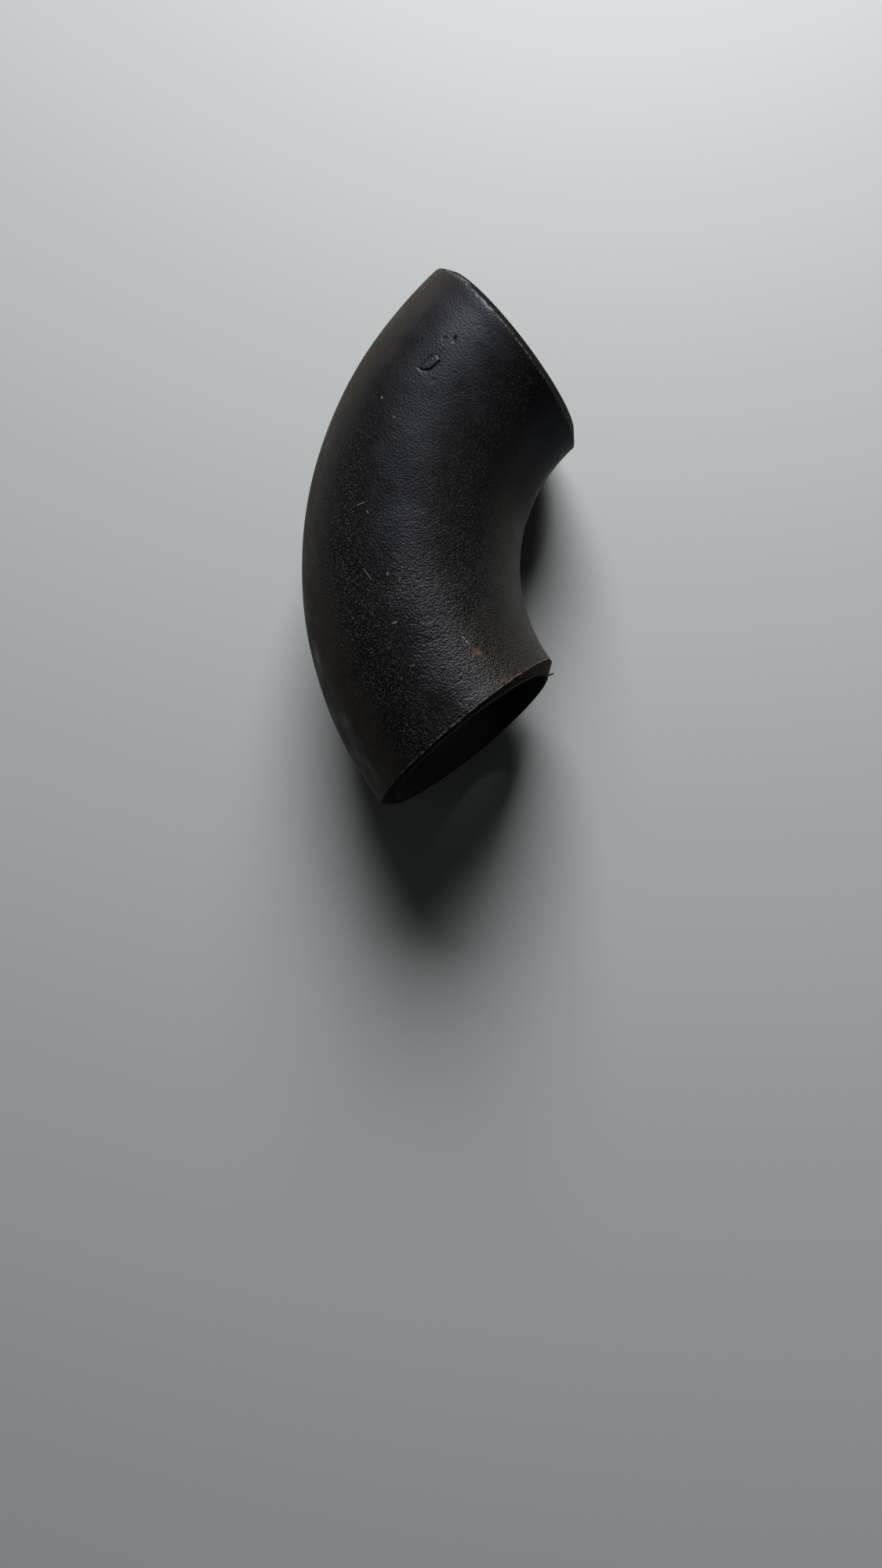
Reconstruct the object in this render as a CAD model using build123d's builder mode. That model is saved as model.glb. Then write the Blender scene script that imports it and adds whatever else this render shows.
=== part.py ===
from build123d import *

import os
from math import radians, tan

# Long-radius 90 degree butt-weld pipe elbow, seamless carbon steel, lying on its side.
#
# Millimetres, +Z up. The origin is on the surface the elbow lies on, under the middle of its
# box. One end opens towards -Y and the other towards -X, and the bend axis is parallel to Z.

# The pipe that the elbow joins: outside diameter 76.1, wall 5.0 (DN 65).
outside_diameter = 76.1
wall = 5.0

# The bend. On a long-radius elbow the bend radius is also the length from centre to end.
bend_radius = 95.0
bend_angle = 90.0

# The weld preparation machined on both ends.
root_face = 1.6        # width of the flat ring left next to the bore
bevel_angle = 37.5     # between the bevel and the plane of the end

# Sizes that follow from those above.
outer_radius = outside_diameter / 2
bore_radius = outer_radius - wall
bevel_width = wall - root_face
bevel_depth = bevel_width * tan(radians(bevel_angle))
reach = bend_radius + outer_radius   # from the bend axis to the outside of the bend

# The bend axis stands at a corner of the elbow's box, and the tube lies on z = 0.
bend_centre = Vector(-reach / 2, -reach / 2, outer_radius)
bend_axis = Axis(bend_centre, (0, 0, 1))


with BuildPart() as elbow:
    # The tube's wall, carried round the bend. The sketch's x points at the bend axis, so the
    # line where the round skin closes on itself runs along the inside of the bend.
    first_end = bend_centre + Vector(bend_radius, 0, 0)
    with BuildSketch(Plane(origin=first_end, x_dir=(-1, 0, 0), z_dir=(0, 1, 0))):
        Circle(outer_radius)
        Circle(bore_radius, mode=Mode.SUBTRACT)
    revolve(axis=bend_axis, revolution_arc=bend_angle)

    # The bevel on each end. Its width is measured on the flat ring there, which leaves the
    # root face, and its depth along the skin.
    for turn in (0, bend_angle):
        end_centre = bend_centre + Vector(bend_radius, 0, 0).rotate(Axis.Z, turn)
        flat_rings = elbow.faces().filter_by(GeomType.PLANE)
        ring = flat_rings.sort_by_distance(end_centre)[0]
        chamfer(
            ring.outer_wire().edges(),
            length=bevel_width,
            length2=bevel_depth,
            reference=ring,
        )

elbow.part.label = "elbow"

os.makedirs("parts", exist_ok=True)
export_step(elbow.part, "parts/elbow.step")

for name, value in (
    ("outside diameter", outside_diameter),
    ("bore", 2 * bore_radius),
    ("centre to end", bend_radius),
    ("reach", reach),
    ("bevel depth", bevel_depth),
):
    print(f"{name:18s}{value:8.2f} mm")
print(f"{'steel':18s}{elbow.part.volume / 1000:8.2f} cm3")
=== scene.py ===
import math

import bpy
import numpy as np
from mathutils import Matrix, Vector

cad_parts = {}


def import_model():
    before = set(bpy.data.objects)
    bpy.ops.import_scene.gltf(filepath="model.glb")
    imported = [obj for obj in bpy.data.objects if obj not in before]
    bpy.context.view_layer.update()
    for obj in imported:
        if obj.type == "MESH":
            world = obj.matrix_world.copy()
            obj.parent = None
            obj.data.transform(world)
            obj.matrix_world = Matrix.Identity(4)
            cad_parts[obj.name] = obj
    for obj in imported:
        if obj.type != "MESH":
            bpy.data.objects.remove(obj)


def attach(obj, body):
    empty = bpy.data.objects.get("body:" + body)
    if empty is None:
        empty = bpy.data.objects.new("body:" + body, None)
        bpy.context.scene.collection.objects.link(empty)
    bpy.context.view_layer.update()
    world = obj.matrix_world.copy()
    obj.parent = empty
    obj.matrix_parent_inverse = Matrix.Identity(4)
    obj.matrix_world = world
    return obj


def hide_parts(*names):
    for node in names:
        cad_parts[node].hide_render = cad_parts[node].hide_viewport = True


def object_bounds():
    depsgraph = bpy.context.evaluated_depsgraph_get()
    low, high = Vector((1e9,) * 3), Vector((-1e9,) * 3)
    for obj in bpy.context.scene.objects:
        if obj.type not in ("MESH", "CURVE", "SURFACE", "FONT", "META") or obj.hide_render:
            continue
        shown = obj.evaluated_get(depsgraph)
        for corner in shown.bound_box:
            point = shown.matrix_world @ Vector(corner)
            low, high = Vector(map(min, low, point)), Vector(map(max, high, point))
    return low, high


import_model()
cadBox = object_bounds()
boxLow, boxHigh = np.array(cadBox)
mm = 0.001


# sRGB hex colour as linear red, green, blue and alpha
def linearColour(code):
    parts = [int(code[i:i + 2], 16) / 255 for i in (1, 3, 5)]
    return [v / 12.92 if v <= 0.04045 else ((v + 0.055) / 1.055) ** 2.4 for v in parts] + [1.0]


# adds a node with its settings and returns one of its outputs; an input is a number, a vector, a
# hex colour, or an output to link from
def addNode(tree, kind, inputs, output=0, **settings):
    node = tree.nodes.new(kind)
    for name, value in settings.items():
        setattr(node, name, value)
    for name, value in inputs.items():
        if isinstance(value, bpy.types.NodeSocket):
            tree.links.new(value, node.inputs[name])
        else:
            node.inputs[name].default_value = linearColour(value) if isinstance(value, str) else value
    return node.outputs[output] if node.outputs else node


# how addNode is asked for a mix node that gives a colour
colourMix = {"output": 2, "data_type": "RGBA"}


# inputs of a mix node: one colour over another where the mask is 1
def layered(mask, under, over):
    return {0: mask, 6: under, 7: over}


# inputs of a map range node: a value between two limits becomes one between two others
def stretched(value, limits, to=(0.0, 1.0)):
    return {"Value": value, "From Min": limits[0], "From Max": limits[1], "To Min": to[0], "To Max": to[1]}


# an empty material and its node tree
def newMaterial(name):
    material = bpy.data.materials.new(name)
    material.use_nodes = True
    material.node_tree.nodes.clear()
    return material, material.node_tree


# smooth noise near -1 to 1: cosines in random directions, with lengths near the wavelength
def waveNoise(points, wavelength, waves, seed):
    rng = np.random.default_rng(seed)
    heading = rng.normal(size=(waves, 3))
    heading /= np.linalg.norm(heading, axis=1, keepdims=True)
    heading *= 2 * np.pi / wavelength * rng.uniform(0.7, 1.4, (waves, 1))
    phase = rng.uniform(0, 2 * np.pi, waves)
    total = np.zeros(points.shape[:-1])
    for way, start in zip(heading, phase):
        total += np.cos(points @ way + start)
    return total * math.sqrt(2 / waves) / 1.5


# bell curve, 1 at 0
def bump(x, width):
    return np.exp(-(x / width) ** 2)


# smooth step from 0 to 1 around x = 0
def step(x, width):
    return 0.5 + 0.5 * np.tanh(x / width)


# 1 past a soft edge and 0 before it; an edge is its place and its softness
def past(x, edge):
    return step(x - edge[0], edge[1])


# 1 before a soft edge and 0 past it
def before(x, edge):
    return step(edge[0] - x, edge[1])


# bell curve over a band, which is its middle and its half width
def within(x, band):
    return bump(x - band[0], band[1])


# count places from low to high, closer together where the weight is larger
def spacedBy(weight, count, low, high):
    x = np.linspace(low, high, 6000)
    total = np.concatenate([[0], np.cumsum((weight(x[1:]) + weight(x[:-1])) / 2)])
    return np.interp(np.linspace(0, total[-1], count), total, x)


elbow = {
    # the solid's box is an outside diameter high, and a bend radius and an outside radius long
    "outsideRadius": (boxHigh[2] - boxLow[2]) / 2,
    "bendRadius": boxHigh[0] - boxLow[0] - (boxHigh[2] - boxLow[2]) / 2,
    "wall": 5.0 * mm,
    "rootFace": 1.6 * mm,
    "bevelAngle": math.radians(37.5),
    # each end's bevel was turned off centre: how far its axis lies from the tube's, outwards from
    # the bend and upwards, and how much larger its small end is than drawn
    "bevelOffset": ((-0.14 * mm, 1.57 * mm), (0.64 * mm, 2.34 * mm)),
    "bevelLarger": (-0.56 * mm, -0.11 * mm),
    "thinnestRootFace": 0.5 * mm,
    "cornerRound": 0.30 * mm,       # edges worn after turning
    "rowsAlongSkin": 222,
    "rowsAlongBore": 36,
    "columns": 312,
    # rows and columns lie closer together near the lap and on top: the middle and half width of
    # each closer part, as a share of the way along or in degrees round the tube, and how much closer
    "closerRows": (0.155, 0.05, 2.2),
    "closerColumns": ((85, 38, 0.8), (81, 6, 2.4)),
    "closerEndRows": (0.02, 0.5),   # share of the way along at both ends, and how much closer
    "swellHeight": 0.09 * mm,       # long swells left by hot forming
    "swellLength": 34 * mm,
    "dimpleHeight": 0.014 * mm,     # short swells, shallower near the first end
    "dimpleLengths": (5 * mm, 2.6 * mm),
    "dimplesAtStart": 0.35,
    "dimplesPast": (75 * mm, 25 * mm),
    "highestSkin": -0.02 * mm,      # no part of the skin is higher than this over a round tube
    "plainEnds": (5 * mm, 1.5 * mm),        # how far from the ends swells begin, and how softly
    "inset": 0.03 * mm,             # keeps skin and ends inside the solid's box
    "blisterHeight": 0.05 * mm,     # blisters of the scale in the bore
    "blisterLength": 9 * mm,
    # a place on the skin is its length along the tube in mm, and degrees round it from the outside
    # of the bend
    "lapStart": (29.2, 79.2),
    "lapEnd": (24.4, 83.2),
    "lapHollow": (5 * mm, 4 * mm, 0.16 * mm),       # half length, half width and depth
    "lapTongue": (0.5 * mm, 1.5 * mm, 0.24 * mm),   # length past each end, half width and height
    "lapEdge": 0.25 * mm,           # how soft the sides of the tongue are
    # cracks and pits: the points of each line, half width and depth in mm
    "cracks": (
        (((29.4, 77.6), (29.6, 80.2), (29.0, 82.6), (27.8, 84.1), (26.3, 84.8), (24.8, 85.2)), 0.21, 0.50),
        (((28.6, 78.1), (26.6, 79.2), (24.4, 80.2)), 0.22, 0.26),
        (((24.4, 83.4), (22.6, 83.0), (20.8, 83.8)), 0.24, 0.12),
        (((17.6, 80.1), (18.4, 79.5)), 0.26, 0.26),
        (((15.9, 84.0), (17.1, 84.9)), 0.34, 0.40),
        (((30.2, 88.3), (31.2, 87.6)), 0.24, 0.12),
        (((51.0, 97.1), (51.2, 97.3)), 0.34, 0.30),
    ),
    # wear of the corner between skin and bevel: the wavelength and depth of two noises
    "cornerWear": ((3.5 * mm, 0.07 * mm), (1.6 * mm, 0.05 * mm)),
    # chips out of the same corners: end, place round the tube in degrees, depth in mm
    "chips": ((0, 77.2, 0.50), (0, 84.8, 0.45), (0, 106.0, 0.20), (1, 93.5, 0.40), (1, 136.0, 0.35),
              (1, 126.5, 0.25), (1, 30.0, 0.30), (1, 71.0, 0.30)),
    "chipHalfWidth": 0.8 * mm,
    # a sliver at the second end's inner edge: its ends in mm
    "burrStart": (-66.12, -4.7, 37.8),
    "burrEnd": (-66.40, -7.7, 31.4),
    "burrRadius": 0.6318 * mm,
    "burrTip": 0.03 * mm,
    "burrFlatness": 0.3,            # thickness as a share of height
    "burrBow": 0.2 * mm,
}


# one end's section as drawn, from skin to bore: depth behind the end plane and distance from the
# centreline of each point, how far the point follows the bevel's outer corner and its inner one,
# and the zone of the face after it. Corners are arcs
def endProfile():
    outer = elbow["outsideRadius"]
    bore = outer - elbow["wall"]
    root = bore + elbow["rootFace"]
    depth = (outer - root) * math.tan(elbow["bevelAngle"])
    beyond, arcPoints = 2 * mm, 5
    corners = np.array([(depth + beyond, outer), (depth, outer), (0, root), (0, bore), (beyond, bore)])
    arcs = []
    for previous, corner, following in zip(corners, corners[1:], corners[2:]):
        back = (previous - corner) / np.linalg.norm(previous - corner)
        ahead = (following - corner) / np.linalg.norm(following - corner)
        half = math.acos(np.clip(back @ ahead, -1, 1)) / 2
        trim = elbow["cornerRound"] / math.tan(half)
        between = (back + ahead) / np.linalg.norm(back + ahead)
        middle = corner + between * elbow["cornerRound"] / math.sin(half)
        first, last = corner + back * trim, corner + ahead * trim
        for share in np.linspace(0, 1, arcPoints):
            point = first * (1 - share) + last * share - middle
            arcs.append(middle + point / np.linalg.norm(point) * elbow["cornerRound"])
    skinArc, faceArc, boreArc = np.array(arcs).reshape(3, arcPoints, 2)

    # more points on the two flats keep their shading flat
    onBevel = np.array([0.06, 0.35, 0.65, 0.94])
    onFace = np.array([0.15, 0.85])
    bevel = skinArc[-1] + (faceArc[0] - skinArc[-1]) * onBevel[:, None]
    face = faceArc[-1] + (boreArc[0] - faceArc[-1]) * onFace[:, None]
    path = np.concatenate([skinArc, bevel, faceArc, face, boreArc])
    full, none = np.ones(arcPoints), np.zeros(arcPoints)
    withOuter = np.concatenate([full, 1 - onBevel, none, 0 * onFace, none])
    withInner = np.concatenate([none, onBevel, full, 1 - onFace, none])
    # half of the skin's arc is skin (0), then bevel (1), and the face after the last point is bore (2)
    zone = np.array([0, 0] + [1] * (len(path) - 3) + [2])
    return path[:, 0], path[:, 1], withOuter, withInner, zone


# how much deeper than drawn one end's bevel starts at each angle, and how much further from the
# centreline it ends: its width is what is left between the tube's circle and the cone's small one,
# and never cuts into the bore
def bevelShift(end, angle):
    outwards, upwards = elbow["bevelOffset"][end]
    drawn = elbow["wall"] - elbow["rootFace"]
    width = drawn - elbow["bevelLarger"][end] - outwards * np.cos(angle) - upwards * np.sin(angle)
    widest = elbow["wall"] - elbow["thinnestRootFace"]
    soft = 0.25 * mm
    width = -soft * np.logaddexp(-width / soft, -widest / soft)
    return (width - drawn) * math.tan(elbow["bevelAngle"]), drawn - width


# a place on the skin of the tube laid out straight: along the tube, and round its axis
def skinPoint(along, degrees):
    angle = math.radians(degrees)
    outer = elbow["outsideRadius"]
    return np.array([along * mm, outer * math.cos(angle), outer * math.sin(angle)])


# how far each place is along and beside the line from start to end, on the tube laid out straight,
# half the line's length, and whether the place is near it
def strokeFrame(place, start, end):
    a, b = skinPoint(*start), skinPoint(*end)
    ahead = (b - a) / np.linalg.norm(b - a)
    out = np.array([0, a[1] + b[1], a[2] + b[2]])
    side = np.cross(out / np.linalg.norm(out), ahead)
    middle, nearby = (a + b) / 2, 20 * mm
    near = np.abs(place - middle).max(-1) < nearby
    return (place - middle) @ ahead, (place - middle) @ side, np.linalg.norm(b - a) / 2, near


# distance of each place from a line of straight runs between places on the skin
def lineDistance(place, path):
    nearest = np.full(place.shape[:-1], np.inf)
    points = [skinPoint(*point) for point in path]
    for a, b in zip(points, points[1:]):
        share = np.clip((place - a) @ (b - a) / ((b - a) @ (b - a)), 0, 1)
        nearest = np.minimum(nearest, np.linalg.norm(place - a - share[..., None] * (b - a), axis=-1))
    return nearest


# height of the skin over a true round tube, never above it: long swells and short dimples, less the
# hollow round the lap, plus its tongue, less each crack
def skinRelief(place):
    relief = elbow["swellHeight"] * (waveNoise(place, elbow["swellLength"], 26, 3) - 1)
    growing = past(place[..., 0], elbow["dimplesPast"])
    dimples = elbow["dimpleHeight"] * (elbow["dimplesAtStart"] + (1 - elbow["dimplesAtStart"]) * growing)
    wide, small = elbow["dimpleLengths"]
    shorter = place * [1.6, 1, 1]
    relief += dimples * (waveNoise(place, wide, 60, 5) + waveNoise(shorter, small, 60, 6))

    # a rolled-in lap: the skin sinks round it, and a tongue of steel rises in the middle, highest
    # towards the crack
    u, w, half, near = strokeFrame(place, elbow["lapStart"], elbow["lapEnd"])
    halfLength, halfWidth, sink = elbow["lapHollow"]
    relief -= sink * near * bump(u, halfLength) * bump(w, halfWidth)
    overhang, tongueWidth, rise = elbow["lapTongue"]
    taper = np.clip(1 - (u / (half + overhang)) ** 2, 0, 1) ** 0.5
    tongue = near * step(tongueWidth * taper - np.abs(w), elbow["lapEdge"]) * step(taper - 0.25, 0.1)
    relief += rise * tongue * (0.6 + 0.4 * np.clip(w / mm, -1, 1))

    for path, halfWidth, depth in elbow["cracks"]:
        relief -= depth * mm * bump(lineDistance(place, path), halfWidth * mm)
    return np.minimum(relief, elbow["highestSkin"])


# how close together the rows lie along the skin, as shares of the way along
def rowWeight(share):
    middle, width, closer = elbow["closerRows"]
    end, endCloser = elbow["closerEndRows"]
    return 1 + closer * bump(share - middle, width) + endCloser * ((share < end) | (share > 1 - end))


# how close together the columns lie round the tube, at angles in radians
def columnWeight(angle):
    weight = 1
    for middle, width, closer in elbow["closerColumns"]:
        weight = weight + closer * bump(angle - math.radians(middle), math.radians(width))
    return weight


# the elbow's closed surface as a grid of rows (one end, skin, other end, bore) by columns (round
# the tube)
def elbowGrid():
    outer, bend = elbow["outsideRadius"], elbow["bendRadius"]
    bore = outer - elbow["wall"]
    length = bend * math.pi / 2
    depth, radius, withOuter, withInner, zone = endProfile()
    skinShare = spacedBy(rowWeight, elbow["rowsAlongSkin"], 0, 1)[1:-1]
    boreShare = np.linspace(1, 0, elbow["rowsAlongBore"])[1:-1]
    endRows, skinRows, boreRows = len(depth), len(skinShare), len(boreShare)

    # each row's share of the way round the bend, section as above, and kind of face
    share = np.concatenate([np.zeros(endRows), skinShare, np.ones(endRows), boreShare])
    zone = np.concatenate([zone[:-1][::-1], [0], np.zeros(skinRows), zone, np.full(boreRows, 2)]).astype(int)
    depth = np.concatenate([depth[::-1], np.full(skinRows, depth[0]), depth, np.full(boreRows, depth[-1])])
    radius = np.concatenate([radius[::-1], np.full(skinRows, outer), radius, np.full(boreRows, bore)])
    atSkin = np.concatenate([np.zeros(endRows), np.ones(skinRows), np.zeros(endRows + boreRows)])
    atBore = np.concatenate([np.zeros(2 * endRows + skinRows), np.ones(boreRows)])
    withOuter = np.concatenate([withOuter[::-1], np.ones(skinRows), withOuter, np.zeros(boreRows)])
    withInner = np.concatenate([withInner[::-1], np.zeros(skinRows), withInner, np.zeros(boreRows)])

    # columns start under the tube
    angle = spacedBy(columnWeight, elbow["columns"] + 1, -math.pi / 2, 1.5 * math.pi)[:-1]
    rowValues = (share, depth, radius, withOuter, withInner, atSkin, atBore)
    share, depth, radius, withOuter, withInner, atSkin, atBore = (row[:, None] for row in rowValues)
    deeper, larger = zip(bevelShift(0, angle), bevelShift(1, angle))
    radius = radius + withInner * ((1 - share) * larger[0] + share * larger[1])

    # turn round the bend axis: the end rows lie flat, sin(turn) = depth / distance from the axis,
    # and the rows between share the rest of the quarter turn
    far = bend + radius * np.cos(angle)
    firstEdge, lastEdge = (np.arcsin((depth + withOuter * more) / far) for more in deeper)
    turn = (1 - share) * firstEdge + share * (math.pi / 2 - lastEdge)
    along = turn * bend
    place = np.stack([along, radius * np.cos(angle), radius * np.sin(angle)], -1)

    # the skin's height fades out at the bevels; the bore's scale is blistered
    plain, softness = elbow["plainEnds"]
    fade = step(along - plain, softness) * step(length - plain - along, softness)
    radius = radius + atSkin * fade * skinRelief(place) - elbow["inset"] * (1 - atBore)
    blisters = waveNoise(place, elbow["blisterLength"], 30, 9) + 1
    radius = radius - atBore * elbow["blisterHeight"] * blisters

    # the worn corner between the skin and each bevel is uneven, with small chips
    (wide, deep), (fine, shallow) = elbow["cornerWear"]
    worn = deep * (1 + waveNoise(place, wide, 40, 11)) + shallow * waveNoise(place, fine, 60, 12)
    for end, degrees, size in elbow["chips"]:
        beside = (angle - math.radians(degrees)) * outer
        worn = worn + (share == end) * size * mm * bump(beside, elbow["chipHalfWidth"])
    corner = (1 - atSkin) * withOuter ** 2
    radius = radius - corner * np.maximum(worn, 0)

    # bend the tube: distance from the bend axis, swept by the turn
    far = bend + radius * np.cos(angle)
    grid = np.stack([far * np.cos(turn), far * np.sin(turn), radius * np.sin(angle)], -1)
    return grid, place, zone, np.broadcast_to(corner, radius.shape)


# quads of a grid that closes on itself both ways, facing outwards
def closedGridFaces(rows, columns):
    i, j = np.meshgrid(np.arange(rows), np.arange(columns), indexing="ij")
    k, m = (i + 1) % rows, (j + 1) % columns
    return np.stack([i * columns + j, k * columns + j, k * columns + m, i * columns + m], -1).reshape(-1, 4)


# a sliver of steel left by turning: a flat six-sided needle, thickest half way along, its radius
# the 0.4 power of a parabola, and bowed along a sine
def burrNeedle():
    start, end = np.array(elbow["burrStart"]) * mm, np.array(elbow["burrEnd"]) * mm
    ahead = (end - start) / np.linalg.norm(end - start)
    side = np.cross(ahead, (0, 0, 1))
    side /= np.linalg.norm(side)
    above = np.cross(side, ahead)
    rings, sides = 9, 6
    u, v = np.meshgrid(np.linspace(0.02, 1, rings), np.arange(sides) * 2 * np.pi / sides, indexing="ij")
    radius = elbow["burrRadius"] * (4 * u * (1 - u)) ** 0.4 + elbow["burrTip"]
    beside = elbow["burrFlatness"] * radius * np.cos(v)
    height = radius * np.sin(v) + elbow["burrBow"] * np.sin(u * 2.4)
    points = start + u[..., None] * (end - start) + beside[..., None] * side + height[..., None] * above
    i, j = np.meshgrid(np.arange(rings - 1), np.arange(sides), indexing="ij")
    m = (j + 1) % sides
    quads = np.stack([(i + 1) * sides + j, (i + 1) * sides + m, i * sides + m, i * sides + j], -1)
    ends = np.array([np.arange(sides), (rings - 1) * sides + np.arange(sides)[::-1]])
    return points.reshape(-1, 3), quads.reshape(-1, 4), ends


# a smooth mesh of lists of faces, each list with as many corners a face, with a material number for
# each face and named values for each point
def makeMesh(name, points, faceLists, zones, attributes):
    sizes = np.concatenate([np.full(len(f), f.shape[1]) for f in faceLists])
    corners = np.concatenate([f.ravel() for f in faceLists]).astype(np.int32)
    mesh = bpy.data.meshes.new(name)
    mesh.vertices.add(len(points))
    mesh.vertices.foreach_set("co", points.astype(np.float32).ravel())
    mesh.loops.add(len(corners))
    mesh.loops.foreach_set("vertex_index", corners)
    mesh.polygons.add(len(sizes))
    mesh.polygons.foreach_set("loop_start", (np.cumsum(sizes) - sizes).astype(np.int32))
    mesh.polygons.foreach_set("material_index", zones.astype(np.int32))
    mesh.update(calc_edges=True)
    mesh.polygons.foreach_set("use_smooth", np.ones(len(sizes), bool))
    for key, values in attributes.items():
        vector = values.ndim == 2
        layer = mesh.attributes.new(key, "FLOAT_VECTOR" if vector else "FLOAT", "POINT")
        layer.data.foreach_set("vector" if vector else "value", values.astype(np.float32).ravel())
    mesh.validate()
    return mesh


# a soft round spot on the skin, 1 at its middle, width in mm
def spot(place, along, degrees, width):
    return np.exp(-((place - skinPoint(along, degrees)) ** 2).sum(-1) / (width * mm) ** 2)


# wear of the skin. An edge is where a zone begins or ends, and how softly; a band is its middle and
# half width. Both are degrees round the tube from the outside of the bend, or mm where it says so
wear = {
    # spots: place, width in mm, strength
    "rustSpots": (
        (129.3, 117.8, 1.9, 0.50), (131.5, 119.8, 1.6, 0.42), (134.2, 121.6, 1.6, 0.30),
        (130.0, 126.0, 3.0, 0.26), (145.2, 123.2, 2.0, 0.42), (145.8, 128.0, 1.8, 0.40),
        (112.0, 133.4, 1.2, 0.42), (115.0, 132.4, 2.4, 0.30), (148.3, 90.5, 1.1, 0.42),
        (148.2, 93.5, 1.1, 0.36), (120.0, 215.0, 16.0, 0.40), (30.0, 300.0, 12.0, 0.42),
        (75.0, 262.0, 18.0, 0.30),
    ),
    # rust creeps along the worn corner of the second end, most of all inside the bend
    "creep": 0.22,
    "creepFrom": (82, 5),
    "creepTo": (168, 6),
    "creepInside": 0.12,
    "creepInsideFrom": (140, 8),
    # and spots the whole bevel there, to a depth in mm behind the end plane
    "bevelRust": 0.26,
    "bevelRustFrom": (138, 6),
    "bevelRustTo": (172, 6),
    "bevelRustDepth": (1.8, 0.4),
    # thin pink-brown rust on the skin behind the second bevel: mm from the end plane to its middle,
    # and how many more inside the bend
    "bloomDepth": 2.0,
    "bloomFurther": 1.3,
    "bloomFurtherFrom": (150, 12),
    "bloomHalfWidth": 1.5,          # mm
    "bloomFrom": (131, 4),
    "bloomTo": (172, 6),
    # brown dust on the outer flank and the underside, reaching higher near both ends
    "soilTo": 44,
    "soilHigher": 10,
    "soilHigherBefore": (42, 10),   # mm along
    "soilHigherPast": (92, 12),     # mm along
    "soilSoftness": 9,
    "soilFrom": (-200, 20),         # past the bottom, inside the bend
    # greyer dust inside the bend towards the second end
    "dustFrom": (150, 10),
    "dustPast": (44, 24),           # mm along
    "dustAtEnd": 0.5,
    "dustAtEndFrom": (125, 8),
    "dustAtEndLength": 24,          # mm
    # the film has weathered matt inside the bend near the first end
    "mattFrom": (150, 7),
    "mattBefore": (62, 10),         # mm along
    # the sheen loses its painted sky blue, under dust and where it reflects the room instead of the sky:
    # wholly on the outer flank and inside the bend, by half next to them and towards the second end
    "warmOutside": (50, 7),
    "warmInside": (122, 9),
    "warmPast": (36, 12),           # mm along
    "halfWarm": 0.45,
    "halfWarmFrom": (102, 6),
    "halfWarmPast": (108, 14),      # mm along
    # the skin is smoothest near the first end, above all inside the bend, and roughest near the
    # second
    "smoothest": 0.48,
    "coarsePast": (75, 45),         # mm along
    "smoother": 0.5,
    "smootherFrom": (112, 8),
    "smootherBefore": (58, 22),     # mm along
    "coarser": 0.6,
    "coarserBand": (138, 12),
    "coarserPast": (88, 20),        # mm along
    "coarseSpots": ((34.0, 94.0, 2.2, 0.30), (27.0, 100.0, 2.4, 0.25)),
    # the top is wrinkled near the second end
    "foldsFrom": (66, 10),
    "foldsTo": (132, 10),
    "foldsPast": (88, 24),          # mm along
    # grit clings on both sides of the smooth top, more towards the second end
    "outerGrit": 0.62,
    "outerGritBand": (65, 11),
    "outerGritPast": (62, 22),      # mm along
    "outerGritLess": 0.45,
    "outerGritLessPast": (108, 16),     # mm along
    "innerGrit": 0.24,
    "innerGritBand": (123, 15),
    "innerGritMore": 0.14,
    "innerGritMorePast": (66, 22),      # mm along
    "topGrit": 0.3,
    "topGritBand": (79, 8),
    "topGritPast": (94, 9),         # mm along
    # the wide spot is painted highlight as much as grit: its lighter grains widen the sheen band there
    "gritAndSheenSpots": ((99.0, 94.0, 7.0, 0.6),),
}


# the sum of spots, each a place, a width in mm and a strength
def spots(place, rows):
    return sum(strength * spot(place, along, degrees, width) for along, degrees, width, strength in rows)


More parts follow.
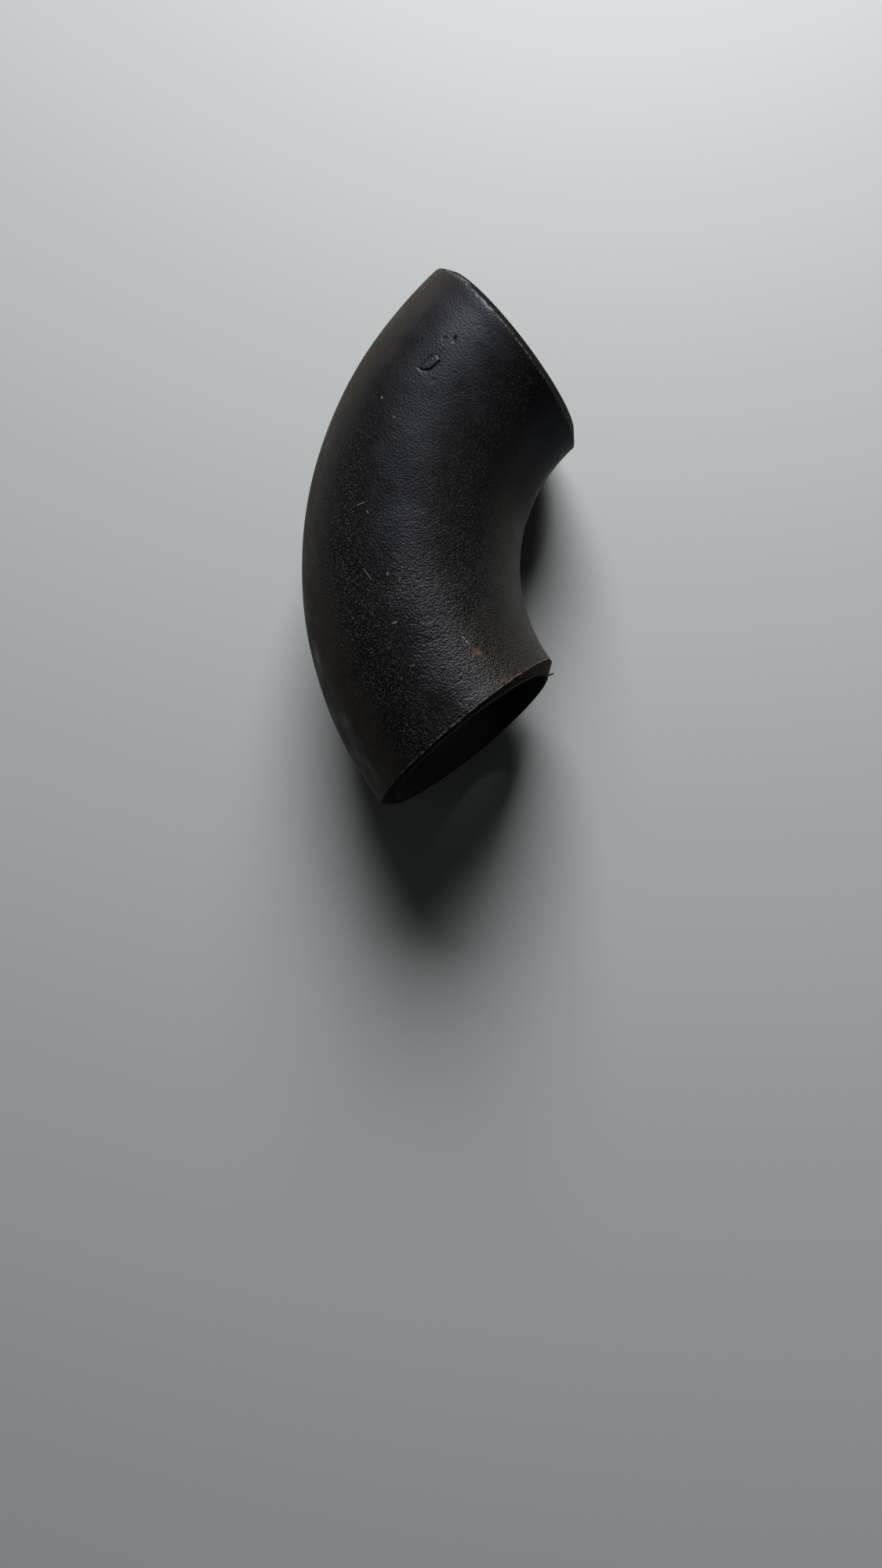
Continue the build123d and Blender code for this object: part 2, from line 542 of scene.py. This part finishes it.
# where rust, dust and grit lie and how coarse the skin is, one value of each for each point of the
# grid: sums of zones, each a strength times its soft edges
def wearMaps(place, corner):
    length = elbow["bendRadius"] * math.pi / 2 / mm
    along = place[..., 0] / mm
    angle = np.degrees(np.arctan2(place[..., 2], place[..., 1]))
    toEnd = length - along

    creep = corner * (toEnd < length / 2) * past(angle, wear["creepFrom"]) * before(angle, wear["creepTo"])
    onBevel = past(angle, wear["bevelRustFrom"]) * before(angle, wear["bevelRustTo"])
    rust = spots(place, wear["rustSpots"])
    rust += (wear["creep"] + wear["creepInside"] * past(angle, wear["creepInsideFrom"])) * creep
    rust += wear["bevelRust"] * before(toEnd, wear["bevelRustDepth"]) * onBevel
    bloomMiddle = wear["bloomDepth"] + wear["bloomFurther"] * past(angle, wear["bloomFurtherFrom"])
    bloom = bump(toEnd - bloomMiddle, wear["bloomHalfWidth"])
    bloom *= past(angle, wear["bloomFrom"]) * before(angle, wear["bloomTo"])

    higher = before(along, wear["soilHigherBefore"]) + past(along, wear["soilHigherPast"])
    soilTo = wear["soilTo"] + wear["soilHigher"] * higher
    soil = step(soilTo - angle, wear["soilSoftness"]) * past(angle, wear["soilFrom"])
    dust = past(angle, wear["dustFrom"]) * past(along, wear["dustPast"])
    dust += wear["dustAtEnd"] * past(angle, wear["dustAtEndFrom"]) * bump(toEnd, wear["dustAtEndLength"])
    matt = past(angle, wear["mattFrom"]) * before(along, wear["mattBefore"])

    warm = before(angle, wear["warmOutside"])
    warm += past(angle, wear["warmInside"]) * past(along, wear["warmPast"])
    warm += wear["halfWarm"] * past(along, wear["halfWarmPast"])
    between = past(angle, wear["halfWarmFrom"]) * past(along, wear["warmPast"])
    warm = np.maximum(warm, wear["halfWarm"] * between)

    coarse = wear["smoothest"] + (1 - wear["smoothest"]) * past(along, wear["coarsePast"])
    smooth = past(angle, wear["smootherFrom"]) * before(along, wear["smootherBefore"])
    coarse *= 1 - wear["smoother"] * smooth
    coarse += wear["coarser"] * within(angle, wear["coarserBand"]) * past(along, wear["coarserPast"])
    coarse += spots(place, wear["coarseSpots"])
    folds = past(along, wear["foldsPast"]) * past(angle, wear["foldsFrom"]) * before(angle, wear["foldsTo"])

    grit = wear["outerGrit"] * within(angle, wear["outerGritBand"]) * past(along, wear["outerGritPast"])
    grit *= 1 - wear["outerGritLess"] * past(along, wear["outerGritLessPast"])
    inner = wear["innerGrit"] + wear["innerGritMore"] * past(along, wear["innerGritMorePast"])
    grit += inner * within(angle, wear["innerGritBand"])
    grit += wear["topGrit"] * within(angle, wear["topGritBand"]) * past(along, wear["topGritPast"])
    # painted highlight: the wide spot of grit lightens the edge of the sheen band
    grit += spots(place, wear["gritAndSheenSpots"])
    return {"rust": rust, "bloom": bloom, "soil": soil, "dust": np.clip(dust, 0, 1), "matt": matt,
            "warm": np.clip(warm, 0, 1), "coarse": coarse, "folds": folds, "grit": grit}


# the elbow and its sliver as one mesh, with its material zones and its maps of wear
def buildElbow():
    grid, place, zone, corner = elbowGrid()
    rows, columns = grid.shape[:2]
    bendCentre = np.array([boxLow[0], boxLow[1], elbow["outsideRadius"]])
    points = grid.reshape(-1, 3)
    needle, needleQuads, needleEnds = burrNeedle()
    first = len(points)
    points = np.concatenate([points + bendCentre, needle])
    faceLists = [closedGridFaces(rows, columns), needleQuads + first, needleEnds + first]
    # the sliver has the bore's finish
    zones = np.concatenate([np.repeat(zone, columns), np.full(len(needleQuads) + len(needleEnds), 2)])
    attributes = {"tubePlace": np.concatenate([place.reshape(-1, 3), needle])}
    for key, values in {**wearMaps(place, corner), "corner": corner}.items():
        attributes[key] = np.concatenate([values.ravel(), np.zeros(len(needle))])
    mesh = makeMesh("elbowSteel", points, faceLists, zones, attributes)
    for material in (blackVarnishedSteel(), turnedSteelBevel(), scaledSteelBore()):
        mesh.materials.append(material)
    piece = bpy.data.objects.new("elbow_steel", mesh)
    bpy.context.scene.collection.objects.link(piece)
    return piece


# a window is the part of a noise over which something goes from nothing to full strength
varnish = {
    "black": "#0b0b0d",
    "soil": "#271f16",
    "dust": "#2b251c",
    "grit": "#676258",
    "rustDark": "#3d2416",
    "rustLight": "#66411f",
    "bloom": "#4a3731",
    "bareSteel": "#8d8c88",
    "wrinklePitch": 0.85 * mm,      # ridges lie across the tube, 0.7 to 1.1 mm apart
    "wrinkleLength": 1.5 * mm,
    "wrinkleHeight": 0.16 * mm,
    "creaseDepth": 0.5,             # as a share of the wrinkles' height
    "pebblePitch": 0.78 * mm,       # the film's pebbles are 0.5 to 1 mm across
    "pebbleHeight": 0.12 * mm,
    "speckPitch": 0.7 * mm,
    "patchSize": 9 * mm,
    "patchWindow": (0.35, 0.65),
    "patchStrength": (0.7, 1.15),   # how strong the pebbles are from patch to patch
    "soilWindow": (0.20, 0.60),
    "dustWindow": (0.45, 0.62),
    "gritPitch": 0.46 * mm,         # drawn coarser than real grains, which would be too fine to show
    "gritWindow": (0.56, 0.68),
    "gritCover": 0.9,
    "strayGrit": 0.05,
    "nickSpacing": 1.5 * mm,
    "nickRadius": (0.17, 0.06),     # from nothing to full, as shares of the spacing
    "nickShare": (0.76, 1.0),       # a cell's random value from no nick to a bright one
    "rustGrain": 1.3 * mm,
    "rustWindow": (0.80, 1.10),
    "rustCover": 0.85,
    "bloomWindow": (0.98, 1.30),
    "bloomCover": 0.8,
    "rimWindow": (0.45, 0.60),      # bare steel along the worn corners
    "bareCover": 0.5,
    "specularLevel": 0.29,          # an aged film with a dull, slightly porous face
    "skyTint": "#dde3ff",           # painted reflection of blue sky light, partly the film's own blue-black; dustTint is what is left under dust
    "dustTint": "#d4cdc0",
    "glossWindow": (0.3, 0.7),
    "roughness": (0.40, 0.53),      # from patch to patch
    "coarseWindow": (0.4, 1.0),
    "coarseRoughness": -0.11,       # less where pebbles are coarse: their slopes spread the gloss
    "dullRoughness": 0.72,
    # marks: the two ends of each, half width in mm
    "flecks": (                     # bare steel
        ((92.1, 75.8), (95.7, 79.5), 0.16),
        ((41.2, 67.0), (41.4, 67.3), 0.42),
        ((45.7, 78.5), (45.9, 78.9), 0.26),
        ((73.1, 71.6), (72.3, 75.4), 0.18),
        ((75.0, 77.2), (75.4, 77.9), 0.26),
        ((94.5, 87.9), (95.0, 87.6), 0.34),
        ((110.2, 85.5), (110.6, 86.5), 0.26),
        ((110.6, 86.5), (110.3, 87.9), 0.26),
        ((122.6, 115.6), (123.6, 116.4), 0.28),
        ((124.7, 116.6), (125.3, 116.9), 0.34),
        ((124.9, 86.4), (125.3, 88.8), 0.15),
        ((112.6, 98.5), (114.4, 105.5), 0.13),
        ((114.4, 105.5), (117.0, 110.8), 0.12),
        ((108.0, 97.0), (109.5, 106.5), 0.09),
    ),
    "bareRim": ((1.1, 53.3), (0.7, 74.0), 0.55),
    "creases": (
        ((112.8, 98.5), (114.6, 105.5), 0.24),
        ((114.6, 105.5), (117.2, 110.8), 0.22),
        ((108.2, 97.0), (109.7, 106.5), 0.16),
        ((106.4, 98.0), (107.4, 104.0), 0.14),
    ),
}


# 1 on the line between two places on the skin, 0 beyond its half width
def strokeMask(tree, place, start, end, halfWidth):
    a, b = Vector(skinPoint(*start)), Vector(skinPoint(*end))
    reach = b - a
    fromStart = addNode(tree, "ShaderNodeVectorMath", {0: place, 1: a}, operation="SUBTRACT")
    share = addNode(tree, "ShaderNodeVectorMath", {0: fromStart, 1: reach / reach.length_squared}, "Value",
                    operation="DOT_PRODUCT")
    share = addNode(tree, "ShaderNodeClamp", {"Value": share})
    foot = addNode(tree, "ShaderNodeVectorMath", {0: reach, "Scale": share}, operation="SCALE")
    gap = addNode(tree, "ShaderNodeVectorMath", {0: fromStart, 1: foot}, "Value", operation="DISTANCE")
    return addNode(tree, "ShaderNodeMapRange", stretched(gap, (halfWidth * mm, halfWidth * 0.4 * mm)))


# the largest of several masks
def largest(tree, masks):
    total = masks[0]
    for mask in masks[1:]:
        total = addNode(tree, "ShaderNodeMath", {0: total, 1: mask}, operation="MAXIMUM")
    return total


# bitumen varnish over hot-formed steel: a thin black film that follows the wrinkled scale, with
# dust, grit, worn flecks and small rust spots
def blackVarnishedSteel():
    material, tree = newMaterial("blackVarnishedSteel")
    place = addNode(tree, "ShaderNodeAttribute", {}, "Vector", attribute_name="tubePlace")
    rust, bloom, soil, dust, matt = (addNode(tree, "ShaderNodeAttribute", {}, "Fac", attribute_name=key)
                                     for key in ("rust", "bloom", "soil", "dust", "matt"))
    warm, coarse, folds, grit, corner = (addNode(tree, "ShaderNodeAttribute", {}, "Fac", attribute_name=key)
                                         for key in ("warm", "coarse", "folds", "grit", "corner"))

    pitch, length = varnish["wrinklePitch"], varnish["wrinkleLength"]
    acrossTube = addNode(tree, "ShaderNodeVectorMath", {0: place, 1: (1 / pitch, 1 / length, 1 / length)},
                         operation="MULTIPLY")
    wrinkles = addNode(tree, "ShaderNodeTexNoise", {"Vector": acrossTube, "Scale": 1.0, "Detail": 2.0,
                                                    "Roughness": 0.6, "Distortion": 0.6})
    pebbles = addNode(tree, "ShaderNodeTexVoronoi", {"Vector": place, "Scale": 1 / varnish["pebblePitch"]},
                      "Distance", feature="F1")
    grains = addNode(tree, "ShaderNodeTexNoise", {"Vector": place, "Scale": 1 / varnish["gritPitch"],
                                                  "Detail": 1.0, "Roughness": 0.7})
    patches = addNode(tree, "ShaderNodeTexNoise", {"Vector": place, "Scale": 1 / varnish["patchSize"],
                                                   "Detail": 3.0, "Roughness": 0.6})
    specks = addNode(tree, "ShaderNodeTexNoise", {"Vector": place, "Scale": 1 / varnish["speckPitch"],
                                                  "Detail": 2.0, "Roughness": 0.7})
    rustNoise = addNode(tree, "ShaderNodeTexNoise", {"Vector": place, "Scale": 1 / varnish["rustGrain"],
                                                     "Detail": 5.0, "Roughness": 0.8})

    # pebbles are as high as the skin is coarse there, and near the second end it is wrinkled as well
    patchy = addNode(tree, "ShaderNodeMapRange",
                     stretched(patches, varnish["patchWindow"], varnish["patchStrength"]))
    strength = addNode(tree, "ShaderNodeMath", {0: patchy, 1: coarse}, operation="MULTIPLY")
    folded = addNode(tree, "ShaderNodeMath", {0: wrinkles, 1: folds}, operation="MULTIPLY")
    creased = largest(tree, [strokeMask(tree, place, *stroke) for stroke in varnish["creases"]])
    scored = addNode(tree, "ShaderNodeMath", {0: creased, 1: -varnish["creaseDepth"], 2: folded},
                     operation="MULTIPLY_ADD")
    relief = addNode(tree, "ShaderNodeBump", {"Strength": 1.0, "Distance": varnish["wrinkleHeight"],
                                              "Height": scored})
    lumps = addNode(tree, "ShaderNodeMath", {0: specks, 1: pebbles}, operation="SUBTRACT")
    lumps = addNode(tree, "ShaderNodeMath", {0: lumps, 1: strength}, operation="MULTIPLY")
    normal = addNode(tree, "ShaderNodeBump", {"Strength": 1.0, "Distance": varnish["pebbleHeight"],
                                              "Height": lumps, "Normal": relief})

    # soil and dust lie over the black film, and lighter grains of grit are stuck in it
    thick = addNode(tree, "ShaderNodeMapRange", stretched(patches, varnish["soilWindow"]))
    soiled = addNode(tree, "ShaderNodeMath", {0: soil, 1: thick}, operation="MULTIPLY", use_clamp=True)
    colour = addNode(tree, "ShaderNodeMix", layered(soiled, varnish["black"], varnish["soil"]), **colourMix)
    powder = addNode(tree, "ShaderNodeMapRange", stretched(grains, varnish["dustWindow"]))
    dusty = addNode(tree, "ShaderNodeMath", {0: dust, 1: powder}, operation="MULTIPLY", use_clamp=True)
    colour = addNode(tree, "ShaderNodeMix", layered(dusty, colour, varnish["dust"]), **colourMix)
    gritty = addNode(tree, "ShaderNodeMapRange", stretched(grains, varnish["gritWindow"]))
    cover = addNode(tree, "ShaderNodeMath", {0: grit, 1: varnish["gritCover"], 2: varnish["strayGrit"]},
                    operation="MULTIPLY_ADD")
    gritty = addNode(tree, "ShaderNodeMath", {0: gritty, 1: cover}, operation="MULTIPLY", use_clamp=True)
    colour = addNode(tree, "ShaderNodeMix", layered(gritty, colour, varnish["grit"]), **colourMix)

    # a few grains are bare bright steel
    nearest = addNode(tree, "ShaderNodeTexVoronoi", {"Vector": place, "Scale": 1 / varnish["nickSpacing"]},
                      "Distance", feature="F1")
    owner = addNode(tree, "ShaderNodeTexVoronoi", {"Vector": place, "Scale": 1 / varnish["nickSpacing"]},
                    "Color", feature="F1")
    owner = addNode(tree, "ShaderNodeSeparateColor", {"Color": owner})
    picked = addNode(tree, "ShaderNodeMapRange", stretched(owner, varnish["nickShare"]))
    nicks = addNode(tree, "ShaderNodeMapRange", stretched(nearest, varnish["nickRadius"]))
    nicks = addNode(tree, "ShaderNodeMath", {0: nicks, 1: picked}, operation="MULTIPLY")
    nicks = addNode(tree, "ShaderNodeMath", {0: nicks, 1: grit}, operation="MULTIPLY", use_clamp=True)

    # rust breaks up into spots; the bloom is a thin even veil with ragged edges
    bloomSum = addNode(tree, "ShaderNodeMath", {0: bloom, 1: rustNoise}, operation="ADD")
    bloomed = addNode(tree, "ShaderNodeMapRange",
                      stretched(bloomSum, varnish["bloomWindow"], (0, varnish["bloomCover"])))
    colour = addNode(tree, "ShaderNodeMix", layered(bloomed, colour, varnish["bloom"]), **colourMix)
    rustSum = addNode(tree, "ShaderNodeMath", {0: rust, 1: rustNoise}, operation="ADD")
    rusted = addNode(tree, "ShaderNodeMapRange",
                     stretched(rustSum, varnish["rustWindow"], (0, varnish["rustCover"])))
    rustColour = addNode(tree, "ShaderNodeMix", layered(specks, varnish["rustDark"], varnish["rustLight"]),
                         **colourMix)
    colour = addNode(tree, "ShaderNodeMix", layered(rusted, colour, rustColour), **colourMix)

    # bare steel where the film is scratched or chipped through, and along the worn corners
    strokes = (varnish["bareRim"], *varnish["flecks"])
    scratched = largest(tree, [strokeMask(tree, place, *stroke) for stroke in strokes])
    scratched = addNode(tree, "ShaderNodeMath", {0: scratched, 1: varnish["bareCover"]},
                        operation="MULTIPLY")
    rim = addNode(tree, "ShaderNodeMapRange",
                  stretched(rustNoise, varnish["rimWindow"], (0, varnish["bareCover"])))
    rim = addNode(tree, "ShaderNodeMath", {0: rim, 1: corner}, operation="MULTIPLY")
    bare = largest(tree, [scratched, rim, nicks])
    colour = addNode(tree, "ShaderNodeMix", layered(bare, colour, varnish["bareSteel"]), **colourMix)

    gloss = addNode(tree, "ShaderNodeMapRange",
                    stretched(patches, varnish["glossWindow"], varnish["roughness"]))
    sharper = addNode(tree, "ShaderNodeMapRange",
                      stretched(coarse, varnish["coarseWindow"], (0, varnish["coarseRoughness"])))
    gloss = addNode(tree, "ShaderNodeMath", {0: gloss, 1: sharper}, operation="ADD")
    dull = largest(tree, [soiled, dusty, matt, rusted, bloomed])
    roughness = addNode(tree, "ShaderNodeMix", {0: dull, 2: gloss, 3: varnish["dullRoughness"]})
    # the sheen's tint: painted blue sky reflection on the clean film, duller and browner where warm
    tint = addNode(tree, "ShaderNodeMix", layered(warm, varnish["skyTint"], varnish["dustTint"]),
                   **colourMix)
    shader = addNode(tree, "ShaderNodeBsdfPrincipled", {
        "Base Color": colour, "Roughness": roughness, "IOR": 1.5, "Normal": normal,
        "Specular IOR Level": varnish["specularLevel"], "Specular Tint": tint})
    addNode(tree, "ShaderNodeOutputMaterial", {"Surface": shader})
    return material


bevelFinish = {
    # dark and grey are partly a thin black coat and partly painted shade that darkens both bevels to the
    # second end's shade
    "dark": "#08090a",
    "grey": "#0e0e0f",
    "olive": "#2a251a",
    "pink": "#3e2722",
    "bareSteel": "#85868a",
    "rustTint": "#d9cbb6",
    "grainSize": 1.4 * mm,
    "blotchSize": 2.6 * mm,
    "dustWindow": (0.42, 0.60),
    "dustEverywhere": 0.25,
    "rustWindow": (0.62, 0.95),
    "rustCover": 0.8,
    "turningPitch": 0.7 * mm,       # drawn coarser than real 0.3 mm marks, which would not show
    "turningHeight": 0.06 * mm,
    "turningShare": 0.3,            # rings against grain
    "specularLevel": 0.08,
    "roughness": 0.72,
    "rustyRoughness": 0.85,
}


# bevel and root face turned on a lathe and thinly coated: fine rings, grey-black, with rust inside
# the bend. The grey-black is partly the thin coat and partly painted shade, as dark as the shaded second end
def turnedSteelBevel():
    material, tree = newMaterial("turnedSteelBevel")
    place = addNode(tree, "ShaderNodeAttribute", {}, "Vector", attribute_name="tubePlace")
    rust = addNode(tree, "ShaderNodeAttribute", {}, "Fac", attribute_name="rust")
    dust = addNode(tree, "ShaderNodeAttribute", {}, "Fac", attribute_name="dust")
    grain = addNode(tree, "ShaderNodeTexNoise", {"Vector": place, "Scale": 1 / bevelFinish["grainSize"],
                                                 "Detail": 5.0, "Roughness": 0.7})
    blotches = addNode(tree, "ShaderNodeTexNoise", {"Vector": place, "Scale": 1 / bevelFinish["blotchSize"],
                                                    "Detail": 3.0, "Roughness": 0.7})

    # painted shade in part: the bevel's near-black base
    plain = addNode(tree, "ShaderNodeMix", layered(grain, bevelFinish["dark"], bevelFinish["grey"]),
                    **colourMix)
    powder = addNode(tree, "ShaderNodeMapRange", stretched(grain, bevelFinish["dustWindow"]))
    cover = addNode(tree, "ShaderNodeMath", {0: dust, 1: bevelFinish["dustEverywhere"]}, operation="ADD",
                    use_clamp=True)
    dusty = addNode(tree, "ShaderNodeMath", {0: powder, 1: cover}, operation="MULTIPLY", use_clamp=True)
    colour = addNode(tree, "ShaderNodeMix", layered(dusty, plain, bevelFinish["olive"]), **colourMix)
    rustSum = addNode(tree, "ShaderNodeMath", {0: rust, 1: blotches}, operation="ADD")
    rusted = addNode(tree, "ShaderNodeMapRange",
                     stretched(rustSum, bevelFinish["rustWindow"], (0, bevelFinish["rustCover"])))
    colour = addNode(tree, "ShaderNodeMix", layered(rusted, colour, bevelFinish["pink"]), **colourMix)
    bare = strokeMask(tree, place, *varnish["bareRim"])
    colour = addNode(tree, "ShaderNodeMix", layered(bare, colour, bevelFinish["bareSteel"]), **colourMix)

    # rings: a sine of the distance from the tube's axis, mixed with the grain
    acrossTube = addNode(tree, "ShaderNodeVectorMath", {0: place, 1: (0, 1, 1)}, operation="MULTIPLY")
    distance = addNode(tree, "ShaderNodeVectorMath", {0: acrossTube}, "Value", operation="LENGTH")
    phase = addNode(tree, "ShaderNodeMath", {0: distance, 1: 2 * math.pi / bevelFinish["turningPitch"]},
                    operation="MULTIPLY")
    rings = addNode(tree, "ShaderNodeMath", {0: phase}, operation="SINE")
    uneven = addNode(tree, "ShaderNodeMath", {0: rings, 1: bevelFinish["turningShare"], 2: grain},
                     operation="MULTIPLY_ADD")
    relief = addNode(tree, "ShaderNodeBump", {"Strength": 0.7, "Distance": bevelFinish["turningHeight"],
                                              "Height": uneven})
    roughness = addNode(tree, "ShaderNodeMix", {0: rusted, 2: bevelFinish["roughness"],
                                                3: bevelFinish["rustyRoughness"]})
    shader = addNode(tree, "ShaderNodeBsdfPrincipled", {
        "Base Color": colour, "Roughness": roughness, "IOR": 1.5, "Normal": relief,
        "Specular IOR Level": bevelFinish["specularLevel"], "Specular Tint": bevelFinish["rustTint"]})
    addNode(tree, "ShaderNodeOutputMaterial", {"Surface": shader})
    return material


boreFinish = {
    "dark": "#1f1d25",
    "light": "#302d36",
    "blister": 6 * mm,
    "blisterHeight": 0.15 * mm,
    "specularLevel": 0.3,
    "roughness": 0.7,
}


# bare bore with its hot-forming scale: dull, blue-grey and rough
def scaledSteelBore():
    material, tree = newMaterial("scaledSteelBore")
    place = addNode(tree, "ShaderNodeAttribute", {}, "Vector", attribute_name="tubePlace")
    scale = addNode(tree, "ShaderNodeTexNoise", {"Vector": place, "Scale": 1 / boreFinish["blister"],
                                                 "Detail": 7.0, "Roughness": 0.65})
    colour = addNode(tree, "ShaderNodeMix", layered(scale, boreFinish["dark"], boreFinish["light"]),
                     **colourMix)
    relief = addNode(tree, "ShaderNodeBump", {"Strength": 0.6, "Distance": boreFinish["blisterHeight"],
                                              "Height": scale})
    shader = addNode(tree, "ShaderNodeBsdfPrincipled", {
        "Base Color": colour, "Roughness": boreFinish["roughness"], "IOR": 1.5, "Normal": relief,
        "Specular IOR Level": boreFinish["specularLevel"]})
    addNode(tree, "ShaderNodeOutputMaterial", {"Surface": shader})
    return material


piece = buildElbow()
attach(piece, "root")
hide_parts("elbow")
print("elbow made", len(piece.data.polygons), "faces")


stage = {
    "floorSize": 6.0,
    "floorColour": "#a9adae",
    "floorRoughness": 0.6,
    "windowSize": (0.70, 0.67),
    "windowDistance": 1.214,
    "windowHeight": math.radians(37.1),     # above the floor
    "windowHeading": math.radians(-45.7),   # from +X, towards -Y when negative
    "windowPower": 26.1,
    "ambient": 0.028,
}


# smooth painted board: even pale grey, matt
def paleBoard():
    material, tree = newMaterial("palePaintedBoard")
    shader = addNode(tree, "ShaderNodeBsdfPrincipled", {
        "Base Color": stage["floorColour"], "Roughness": stage["floorRoughness"], "IOR": 1.5})
    addNode(tree, "ShaderNodeOutputMaterial", {"Surface": shader})
    return material


# a square of board under the elbow
def buildFloor():
    half = stage["floorSize"] / 2
    mesh = bpy.data.meshes.new("floorBoard")
    corners = [(-half, -half, 0), (half, -half, 0), (half, half, 0), (-half, half, 0)]
    mesh.from_pydata(corners, [], [(0, 1, 2, 3)])
    mesh.materials.append(paleBoard())
    floor = bpy.data.objects.new("floor_board", mesh)
    bpy.context.scene.collection.objects.link(floor)


# a window on one side, low enough for long soft shadows, and a trace of light from the rest of the room
def buildLights():
    rise, heading = stage["windowHeight"], stage["windowHeading"]
    level = math.cos(rise)
    direction = Vector((level * math.cos(heading), level * math.sin(heading), math.sin(rise)))
    lamp = bpy.data.lights.new("window", "AREA")
    lamp.shape = "RECTANGLE"
    lamp.size, lamp.size_y = stage["windowSize"]
    lamp.energy = stage["windowPower"]
    light = bpy.data.objects.new("window", lamp)
    light.location = Vector((0, 0, elbow["outsideRadius"])) + direction * stage["windowDistance"]
    light.rotation_euler = direction.to_track_quat("Z", "Y").to_euler()
    bpy.context.scene.collection.objects.link(light)

    world = bpy.data.worlds.new("softRoom")
    bpy.context.scene.world = world
    world.use_nodes = True
    background = world.node_tree.nodes["Background"]
    background.inputs["Color"].default_value = (1, 1, 1, 1)
    background.inputs["Strength"].default_value = stage["ambient"]


# the camera's place, and which way right and down point in its frame
view = {
    "sensorHeight": 36,
    "lens": 28.33,
    "from": (-132.94 * mm, 13.39 * mm, 456.44 * mm),
    "right": (-0.62191, -0.76829, -0.15154),
    "down": (-0.76971, 0.63535, -0.06231),
}


def buildCamera():
    data = bpy.data.cameras.new("viewpoint")
    data.sensor_fit = "VERTICAL"
    data.sensor_height = view["sensorHeight"]
    data.lens = view["lens"]
    camera = bpy.data.objects.new("viewpoint", data)
    right = Vector(view["right"]).normalized()
    back = right.cross(-Vector(view["down"])).normalized()
    upwards = back.cross(right)
    turn = Matrix((right, upwards, back)).transposed().to_4x4()
    camera.matrix_world = Matrix.Translation(view["from"]) @ turn
    bpy.context.scene.collection.objects.link(camera)
    bpy.context.scene.camera = camera


buildFloor()
buildLights()
buildCamera()
bpy.context.scene.view_settings.view_transform = "Standard"
print("floor, light and camera placed")
